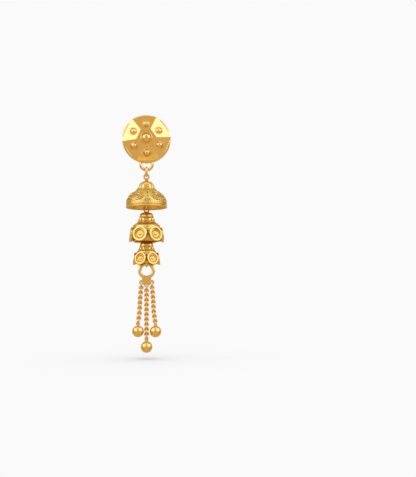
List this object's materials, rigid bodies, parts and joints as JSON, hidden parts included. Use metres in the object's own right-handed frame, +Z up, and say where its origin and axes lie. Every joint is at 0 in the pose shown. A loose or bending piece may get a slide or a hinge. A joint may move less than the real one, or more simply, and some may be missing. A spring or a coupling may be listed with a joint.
{
  "type": "tiered jhumka drop earring",
  "caption": "Gold drop earring: faceted round stud with post and screw back, hollow bell, medallion-set drops and a ball-ended chain tassel.",
  "frame": {"origin": "middle of the stud's flat back, where the ear post leaves it", "axes": "+Z up, along the plumb line that the drops hang on; +Y back along the ear post; +X to the viewer's right, with the stud facing the viewer at -Y"},
  "size_m": [0.0098, 0.0151, 0.0482],
  "materials": {
    "polished_gold": "high polish yellow gold",
    "chased_gold": "chased and granulated yellow gold",
    "chain_gold": "polished yellow gold wire"
  },
  "bodies": {
    "stud": {"stud": "polished_gold", "screw_back": "polished_gold"},
    "hanger_link": {"hanger_link": "chain_gold"},
    "bell": {"bell": "chased_gold"},
    "bell_link": {"bell_link": "chain_gold"},
    "middle_drop": {"middle_drop": "chased_gold"},
    "middle_link": {"middle_link": "chain_gold"},
    "lower_drop": {"lower_drop": "chased_gold"},
    "tassel_link": {"tassel_link": "chain_gold"},
    "tassel": {"tassel_fan": "polished_gold", "chain_left": "chain_gold", "chain_middle": "chain_gold", "chain_right": "chain_gold", "ball_left": "polished_gold", "ball_middle": "polished_gold", "ball_right": "polished_gold"}
  },
  "joints": [
    {"name": "hanger_link_swing", "type": "hinge", "parent": "stud", "child": "hanger_link", "pos_m": [0, -0.0004, -0.00636], "axis": [1, 0, 0], "range_deg": [-40, 40]},
    {"name": "bell_sway", "type": "hinge", "parent": "hanger_link", "child": "bell", "pos_m": [0, -0.0004, -0.00762], "axis": [0, 1, 0], "range_deg": [-35, 35]},
    {"name": "bell_link_swing", "type": "hinge", "parent": "bell", "child": "bell_link", "pos_m": [0, -0.0004, -0.01334], "axis": [1, 0, 0], "range_deg": [-25, 25]},
    {"name": "middle_drop_sway", "type": "hinge", "parent": "bell_link", "child": "middle_drop", "pos_m": [0, -0.0004, -0.01451], "axis": [0, 1, 0], "range_deg": [-20, 20]},
    {"name": "middle_link_swing", "type": "hinge", "parent": "middle_drop", "child": "middle_link", "pos_m": [0, -0.0004, -0.01917], "axis": [1, 0, 0], "range_deg": [-15, 15]},
    {"name": "lower_drop_sway", "type": "hinge", "parent": "middle_link", "child": "lower_drop", "pos_m": [0, -0.0004, -0.02028], "axis": [0, 1, 0], "range_deg": [-15, 15]},
    {"name": "tassel_link_swing", "type": "hinge", "parent": "lower_drop", "child": "tassel_link", "pos_m": [0, -0.0004, -0.02471], "axis": [1, 0, 0], "range_deg": [-25, 25]},
    {"name": "tassel_sway", "type": "hinge", "parent": "tassel_link", "child": "tassel", "pos_m": [0, -0.0004, -0.02608], "axis": [0, 1, 0], "range_deg": [-20, 20]}
  ]
}
